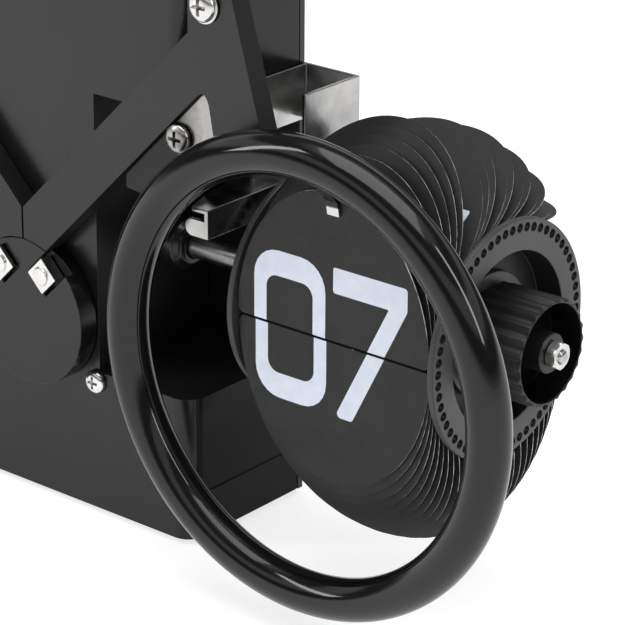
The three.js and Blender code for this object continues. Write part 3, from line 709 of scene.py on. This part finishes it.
def build_nut():
    nut_start, nut_end = turned_size("minute_shaft_nut")[:2]
    flats = 6.6 * MM
    full, softened = hexagon(flats), hexagon(flats, flats / 2 * 1.03)
    bore = 1.75 * MM
    bm = bmesh.new()
    add_lathe(bm, [
        (nut_start, bore), (nut_start, softened), (nut_start + 0.4 * MM, full), (nut_end - 0.4 * MM, full),
        (nut_end, softened), (nut_end, bore + 0.35 * MM), (nut_end - 0.3 * MM, bore),
    ], WHEEL_AXIS, "x", 72)
    nut = object_from("minute_hex_nut", bm, 25)
    finish_pair(nut, "wheel", ["shaft_nut"], "nut_steel")

    start, end, radius = turned_size("minute_wheel_shaft")
    thread_start = nut_start - 0.2 * MM
    profile = [(start, 0.1 * MM), (start, radius * 0.8), (start + 0.4 * MM, radius), (thread_start, radius)]
    pitch = 0.5 * MM
    turns = int((end - thread_start) / pitch)
    for i in range(turns):
        at = thread_start + i * pitch
        profile += [(at + pitch * 0.5, radius * 0.88), (at + pitch, radius * 0.99)]
    profile += [(end, radius * 0.7), (end, 0.1 * MM)]
    bm = bmesh.new()
    add_lathe(bm, profile, WHEEL_AXIS, "x", 40)
    shaft = object_from("minute_shaft_rod", bm, 50)
    finish_pair(shaft, "wheel", ["wheel_shaft"], "steel")


# ---- printed numbers ------------------------------------------------------------------------------

# Millimetres from a digit's centre: its sides and top, and the inner edges of its bars and stems.
DIGIT_HALF_WIDTH = 11.75
DIGIT_TOP = 20.4
BAR_EDGE = 13.5
STEM_EDGE = 7.65
DIGIT_CENTRES = (-13.65, 12.35)  # millimetres from the leaf's middle
PRINT_THICKNESS = 0.04 * MM


def frame_loop(left, right, bottom, top, radius):
    return [(left, bottom, radius), (right, bottom, radius), (right, top, radius), (left, top, radius)]


def turned_half(loops):
    return [[(-x, -y, radius) for x, y, radius in loop] for loop in loops]


def digit_loops():
    """Outlines of the ten digits in millimetres round their centre: (x, height, corner radius)."""
    w, t, b, s = DIGIT_HALF_WIDTH, DIGIT_TOP, BAR_EDGE, STEM_EDGE
    soft = 0.7
    outer = frame_loop(-w, w, -t, t, 8)
    six = [
        [(-w, t, 8), (11, t, soft), (11, b, soft), (-s, b, 3.5), (-s, 4.5, 0.4), (w, 4.5, 7), (w, -t, 8),
         (-w, -t, 8)],
        frame_loop(-s, s, -b, -2.2, 3),
    ]
    return {
        "0": [outer, frame_loop(-s, s, -b, b, 3.5)],
        "1": [[(-2.5, t, soft), (2.1, t, soft), (2.1, -t, soft), (-2.1, -t, soft), (-2.1, b, 0.4),
               (-7, b, soft), (-7, 16.2, soft)]],
        "2": [[(-w, 9, soft), (-w, t, 8), (w, t, 8), (w, 1.5, 4), (-4.2, -b, 0.4), (w, -b, soft),
               (w, -t, soft), (-w, -t, soft), (-w, -14.2, 2), (s, 3.2, 2), (s, b, 3.5), (-s, b, 3.5),
               (-s, 9, soft)]],
        "3": [[(-11, t, soft), (w, t, 8), (w, -t, 8), (-11, -t, soft), (-11, -b, soft), (s, -b, 3.5),
               (s, -3.2, 3), (-8, -3.2, soft), (-8, 3.2, soft), (s, 3.2, 3), (s, b, 3.5), (-11, b, soft)]],
        "4": [[(2.5, t, soft), (9.1, t, soft), (9.1, -4.5, 0.4), (12.2, -4.5, soft), (12.2, -10.8, soft),
               (9.1, -10.8, 0.4), (9.1, -t, soft), (5, -t, soft), (5, -10.8, 0.4), (-12, -10.8, soft),
               (-12, -5.5, 2)],
              [(5, 14.8, 0.4), (5, -4.5, 0.4), (-6.6, -4.5, 0.4)]],
        "5": [[(-w, t, soft), (11, t, soft), (11, b, soft), (-s, b, 0.4), (-s, 4.5, 0.4), (w, 4.5, 7),
               (w, -t, 8), (-w, -t, soft), (-w, -b, soft), (s, -b, 3.5), (s, -2.2, 3), (-w, -2.2, soft)]],
        "6": six,
        "7": [[(-w, t, soft), (w, t, 1.0), (w, 14.2, 1.5), (-5.75, -t, 1.0), (-11.3, -t, 1.2), (6.0, b, 0.3),
               (-w, b, soft)]],
        "8": [outer, frame_loop(-s, s, 2.8, b, 3), frame_loop(-s, s, -b, -2.8, 3)],
        "9": turned_half(six),
    }


def softened_loop(loop):
    """Rounds each corner of a digit's outline with a true arc of its own radius."""
    steps = 6
    points = []
    for i, (x, y, radius) in enumerate(loop):
        corner = Vector((x, y))
        before = Vector(loop[i - 1][:2]) - corner
        after = Vector(loop[(i + 1) % len(loop)][:2]) - corner
        half = before.angle(after) / 2
        reach = min(radius / math.tan(half), before.length * 0.48, after.length * 0.48)
        bow = reach * math.tan(half)
        centre = corner + (before.normalized() + after.normalized()).normalized() * (bow / math.sin(half))
        start = corner + before.normalized() * reach - centre
        end = corner + after.normalized() * reach - centre
        sweep = start.angle_signed(end)
        for step in range(steps + 1):
            turn = -sweep * step / steps
            points.append(centre + Matrix.Rotation(turn, 2) @ start)
    return points


def digit_mesh(loops, upper):
    """A thin slab with the part of the digit above or below the split line, in millimetres."""
    curve = bpy.data.curves.new("digit", "CURVE")
    curve.dimensions = "2D"
    curve.fill_mode = "BOTH"
    curve.extrude = PRINT_THICKNESS / MM / 2
    for loop in loops:
        points = softened_loop(loop)
        spline = curve.splines.new("POLY")
        spline.points.add(len(points) - 1)
        for point, place in zip(spline.points, points):
            point.co = (place.x, place.y, 0, 1)
        spline.use_cyclic_u = True
    holder = bpy.data.objects.new("digit", curve)
    bpy.context.scene.collection.objects.link(holder)
    bpy.context.view_layer.update()
    mesh = bpy.data.meshes.new_from_object(holder.evaluated_get(bpy.context.evaluated_depsgraph_get()))
    bpy.data.objects.remove(holder)
    bm = bmesh.new()
    bm.from_mesh(mesh)
    bmesh.ops.remove_doubles(bm, verts=bm.verts, dist=1e-4)
    split = SPLIT_GAP / MM
    place = (0, split if upper else -split, 0)
    geometry = bm.verts[:] + bm.edges[:] + bm.faces[:]
    cut_through = bmesh.ops.bisect_plane(
        bm, geom=geometry, plane_co=place, plane_no=(0, -1 if upper else 1, 0), clear_outer=True)
    edges = [e for e in cut_through["geom_cut"] if isinstance(e, bmesh.types.BMEdge)]
    bmesh.ops.holes_fill(bm, edges=edges)
    bmesh.ops.recalc_face_normals(bm, faces=bm.faces)
    bm.to_mesh(mesh)
    bm.free()
    return mesh


HALF_DIGITS = {
    (digit, upper): digit_mesh(loops, upper)
    for digit, loops in digit_loops().items() for upper in (True, False)
}


def add_number(bm, text, upper, place, up, facing):
    """Prints half a number on a leaf hinged at place. up runs along the leaf, facing out of the print."""
    right = up.cross(facing)
    for digit, offset in zip(text, DIGIT_CENTRES):
        copy = HALF_DIGITS[digit, upper].copy()
        basis = Matrix((right, up, facing)).transposed().to_4x4()
        basis.translation = place
        shift = Matrix.Translation((offset * MM, 0, 0)) @ Matrix.Scale(MM, 4)
        copy.transform(basis @ shift)
        bm.from_mesh(copy)


# ---- leaves -----------------------------------------------------------------------------------------

# Angles go round the wheel from its front, over the top for the upper leaves and under it for the lower.
UPRIGHT_UNTIL = math.radians(43)  # the upper leaves up to here stand loosely
UPRIGHT_LEAN = math.radians(32)  # and the last of them leans back by this much
FIRST_BUNDLE = math.radians(60)  # the first bundle ends here
BUNDLE_STEP = math.radians(12)
BUNDLE_GAP = 0.3 * MM
UPPER_LAG = math.radians(2)
DRAG = math.radians(18)  # the most that a lower leaf is pushed off plumb
STACK_THICKNESS = 0.18 * MM
STACK_HEIGHT = LEAF_HEIGHT - 0.6 * MM


def add_leaf(bm, hinge, lean, thickness, height, centre_x, rest=None):
    """One half-elliptic leaf hinged at hinge = (y, z) that leans back by lean from straight up. A leaf with
    a rest point runs straight to it first and bends there. Returns up, normal and the flat part's origin."""
    up = Vector((0, math.sin(lean), math.cos(lean)))
    normal = Vector((0, -math.cos(lean), math.sin(lean)))
    base = Vector((centre_x, *hinge))
    root_up, bend = up, 0.0
    if rest:
        path = Vector((centre_x, *rest)) - base
        root_up, bend = path.normalized(), path.length
    reach = height - SPLIT_GAP
    steps, first_turn, last_turn = 22, 0.035, math.pi / 2 - 0.02
    turns = [first_turn + (last_turn - first_turn) * k / steps for k in range(steps + 1)]
    rows = [(LEAF_HALF_WIDTH - 1.2 * MM, SPLIT_GAP)]
    rows += [(LEAF_HALF_WIDTH * math.cos(turn), SPLIT_GAP + reach * math.sin(turn)) for turn in turns]
    if bend > SPLIT_GAP:
        share = (bend - SPLIT_GAP) / reach
        rows.append((LEAF_HALF_WIDTH * math.sqrt(1 - share * share), bend))
        rows.sort(key=lambda row: row[1])
    rings = []
    for half_width, along in rows:
        middle = base + root_up * min(along, bend) + up * max(along - bend, 0)
        rings.append([
            bm.verts.new(middle + Vector((x, 0, 0)) + normal * offset)
            for x, offset in ((-half_width, thickness / 2), (half_width, thickness / 2),
                              (half_width, -thickness / 2), (-half_width, -thickness / 2))
        ])
    for first, second in zip(rings, rings[1:]):
        for k in range(4):
            face = bm.faces.new((first[k], first[(k + 1) % 4], second[(k + 1) % 4], second[k]))
            face.material_index = k % 2
    bm.faces.new(rings[0])
    bm.faces.new(rings[-1]).material_index = 1
    return up, normal, base + (root_up - up) * bend


def leaf_object(name, bm):
    """Black sheet with pale cut edges."""
    obj = object_from(name, bm)
    obj.data.materials.append(MATERIALS["leaf_black"])
    obj.data.materials.append(MATERIALS["leaf_edge"])
    return obj


def hinge_at(angle, below):
    """Place (y, z) of the hinge at an angle, on the wheel's lower or upper half."""
    y = AXIS_Y - HINGE_CIRCLE * math.cos(angle)
    z = HINGE_CIRCLE * math.sin(angle)
    return y, AXIS_Z - z if below else AXIS_Z + z


def upper_rest(angle, count):
    """How far a leaf over the wheel leans, and the point where it comes to lie on its bundle. The leaves at
    the front stand in one loose group. Further back they lie on each other in small bundles."""
    if angle < UPRIGHT_UNTIL:
        return UPRIGHT_LEAN * math.sin(math.pi / 2 * angle / UPRIGHT_UNTIL), None
    bundles = max(0, math.ceil((angle - FIRST_BUNDLE) / BUNDLE_STEP - 1e-6))
    end = FIRST_BUNDLE + bundles * BUNDLE_STEP
    lag_degrees = 4 + 2 * min(1, bundles / 3) if bundles < 5 else 2
    lean = end - math.radians(lag_degrees)
    pitch = 2 * math.pi / count
    last = math.floor((min(end, math.pi - pitch) + UPPER_LAG) / pitch + 1e-6) * pitch - UPPER_LAG
    under = round((last - angle) / pitch)
    if under <= 0:
        return lean, None
    y, z = hinge_at(last, False)
    return lean, (y - math.cos(lean) * under * BUNDLE_GAP, z + math.sin(lean) * under * BUNDLE_GAP)


def build_leaves(side, first, total, repeats):
    """All leaves of one wheel: first is the number on show, on as many leaves as repeats says, and the
    count restarts at total."""
    centre_x = SIDES[side] * WHEEL_X
    rng = random.Random(f"{side} leaves")
    upper, lower = bmesh.new(), bmesh.new()
    upper_print, lower_print = bmesh.new(), bmesh.new()

    def number(offset):
        return f"{(first + offset // repeats) % total:02d}"

    count = LEAVES[side]
    half = count // 2
    for i in range(1, half):
        angle = 2 * math.pi * i / count - UPPER_LAG
        lean, rest = upper_rest(angle, count)
        lean += math.radians(rng.uniform(-0.3, 0.3))
        hinge = hinge_at(angle, False)
        middle_x = centre_x + rng.uniform(-0.1, 0.1) * MM
        up, normal, base = add_leaf(upper, hinge, lean, STACK_THICKNESS, STACK_HEIGHT, middle_x, rest)
        add_number(upper_print, number(i), True, base + normal * STACK_THICKNESS / 2, up, normal)
    for i in range(half):
        angle = 2 * math.pi * i / count
        lean = math.pi - DRAG * math.sin(angle)
        if i:
            lean += math.radians(rng.uniform(-0.12, 0.12))
        y, z = hinge_at(angle, True)
        if i == 0:
            y -= 0.12 * MM
        up, normal, base = add_leaf(lower, (y, z), lean, STACK_THICKNESS, STACK_HEIGHT, centre_x)
        add_number(lower_print, number(-i), False, base - normal * STACK_THICKNESS / 2, -up, -normal)

    pieces = (
        (leaf_object(f"{side}_upper_leaves", upper), None, [f"{side}_leaf_stack"]),
        (leaf_object(f"{side}_lower_leaves", lower), None, ()),
        (object_from(f"{side}_upper_numbers", upper_print), "digit_print", ()),
        (object_from(f"{side}_lower_numbers", lower_print), "digit_print", ()),
    )
    for obj, material, nodes in pieces:
        finish_piece(obj, "root", nodes, material)
    build_flip_leaf(side, centre_x, number(0), number(1))


def build_flip_leaf(side, centre_x, shown, following):
    """The leaf that drops, printed with the number on show and on its back with the one that follows, and
    the hinge wire behind the split."""
    flip = bmesh.new()
    thickness = FLIP_HIGH.y - FLIP_LOW.y
    middle = (FLIP_HIGH.y + FLIP_LOW.y) / 2
    up, normal, base = add_leaf(flip, (middle, AXIS_Z), 0.0, thickness, LEAF_HEIGHT, centre_x)
    flip_print = bmesh.new()
    add_number(flip_print, shown, True, base + normal * thickness / 2, up, normal)
    add_number(flip_print, following, False, base - normal * thickness / 2, -up, -normal)
    wire = bmesh.new()
    wire_start, wire_end = centre_x - LEAF_HALF_WIDTH + 1.5 * MM, centre_x + LEAF_HALF_WIDTH - 1.5 * MM
    wire_radius, wire_bore = 0.42 * MM, 0.04 * MM
    wire_axis = Vector((0, FLIP_HIGH.y + 0.45 * MM, AXIS_Z))
    add_lathe(wire, [(wire_start, wire_bore), (wire_start, wire_radius), (wire_end, wire_radius),
                     (wire_end, wire_bore)], wire_axis, "x", 12)
    # The hinge wire is real, but its near-black, unreflecting finish is painted shadow in the split between
    # the leaf halves.
    finish_piece(object_from(f"{side}_hinge_wire", wire, 40), "root", (), "painted_shadow_black")
    body = f"{side}_flip_leaf"
    finish_piece(leaf_object(f"{side}_flip_sheet", flip), body, [body])
    finish_piece(object_from(f"{side}_flip_number", flip_print), body, (), "digit_print")


# ---- movement ---------------------------------------------------------------------------------------

def build_movement():
    refined("minute_gear", "minute_wheel", "gear_plastic", 0.08 * MM, segments=1)
    refined("hour_gear", "hour_wheel", "gear_plastic", 0.08 * MM, segments=1)
    refined("idler_gear", "idler", "gear_plastic", 0.08 * MM, segments=1)
    refined("motor_pinion", "motor_rotor", "brass", 0.06 * MM, segments=1)
    refined("motor", "root", "motor_case", 0.4 * MM)
    centre = centre_of("idler_arbor")
    axis = Vector((0, centre.y, centre.z))
    arbor = rod("idler_pin", *turned_size("idler_arbor"), axis, "x", 40, 0.2 * MM)
    finish_piece(arbor, "root", ["idler_arbor"], "steel")


# ---- camera, light and floor --------------------------------------------------------------------------

def build_camera():
    aim = Vector((0.10469, -0.03268, 0.08595))
    azimuth, elevation, roll = math.radians(39.51), math.radians(22.06), math.radians(0.38)
    distance = 0.72215
    level = math.cos(elevation)
    back = Vector((math.sin(azimuth) * level, -math.cos(azimuth) * level, math.sin(elevation)))
    data = bpy.data.cameras.new("camera")
    data.lens = 165
    data.sensor_width = 36
    data.clip_start = 0.01
    data.clip_end = 50
    camera = bpy.data.objects.new("camera", data)
    bpy.context.scene.collection.objects.link(camera)
    camera.location = aim + back * distance
    camera.rotation_mode = "QUATERNION"
    tilt = Matrix.Rotation(roll, 3, "Z").to_quaternion()
    camera.rotation_quaternion = (-back).to_track_quat("-Z", "Y") @ tilt
    bpy.context.scene.camera = camera


def area_light(name, place, aim, width, height, power):
    data = bpy.data.lights.new(name, "AREA")
    data.shape = "RECTANGLE"
    data.size = width
    data.size_y = height
    data.energy = power
    light = bpy.data.objects.new(name, data)
    bpy.context.scene.collection.objects.link(light)
    light.location = place
    light.rotation_mode = "QUATERNION"
    light.rotation_quaternion = (Vector(aim) - Vector(place)).to_track_quat("-Z", "Y")


def build_studio():
    world = bpy.data.worlds.new("studio")
    world.use_nodes = True
    tree = world.node_tree
    background = next(n for n in tree.nodes if n.type == "BACKGROUND")
    background.inputs["Strength"].default_value = 0.85
    direction = tree.nodes.new("ShaderNodeTexCoord")
    parts = tree.nodes.new("ShaderNodeSeparateXYZ")
    tree.links.new(direction.outputs["Generated"], parts.inputs[0])
    bands = tree.nodes.new("ShaderNodeValToRGB")
    tree.links.new(parts.outputs["Z"], bands.inputs["Fac"])
    tree.links.new(bands.outputs["Color"], background.inputs["Color"])
    ramp = bands.color_ramp
    ramp.elements[0].position, ramp.elements[1].position = 0.0, 1.0
    ramp.elements[0].color = (0.75, 0.75, 0.75, 1)
    ramp.elements[1].color = (1, 1, 1, 1)
    steps = ((0.10, 0.12), (0.28, 0.12), (0.37, 1.0), (0.55, 1.0), (0.62, 0.15), (0.80, 0.18), (0.88, 1.0))
    for height, level in steps:
        ramp.elements.new(height).color = (level, level, level, 1)
    bpy.context.scene.world = world
    aim = (0.08, 0, 0.08)
    area_light("overhead", (0.1, -0.1, 1.1), aim, 0.9, 0.9, 6)
    area_light("strip_left", (-0.75, -0.75, 0.7), aim, 0.12, 0.9, 3)
    area_light("strip_right", (1.0, -0.1, 0.75), aim, 0.15, 0.8, 3)

    bm = bmesh.new()
    reach = 6.0
    corners = ((-reach, -reach), (reach, -reach), (reach, reach), (-reach, reach))
    bm.faces.new([bm.verts.new((x, y, 0)) for x, y in corners])
    floor = object_from("floor", bm)
    n = Nodes("floor_paper")
    n.link(n.tint(n.noise(8, 2), (0.50, 0.50, 0.50), (0.52, 0.52, 0.52)), n.shader.inputs["Base Color"])
    n.shader.inputs["Emission Color"].default_value = (1, 1, 1, 1)
    n.shader.inputs["Emission Strength"].default_value = 0.75
    n.shader.inputs["Roughness"].default_value = 0.9
    n.shader.inputs["Specular IOR Level"].default_value = 0.1
    floor.data.materials.append(n.material)


build_camera()
build_studio()
build_shells()
build_feet()
build_battery()
build_forks()
build_screw("fork_screw", 0.7)
build_screw("ring_plate_screw", 0, "dull_steel")
build_screw("front_screw", 0)
build_bearing()
build_ring()
build_discs()
build_hub()
build_knob()
build_nut()
build_leaves("minute", 7, 60, 1)
build_leaves("hour", 12, 24, 2)
build_movement()
bpy.context.scene.view_settings.view_transform = "Standard"
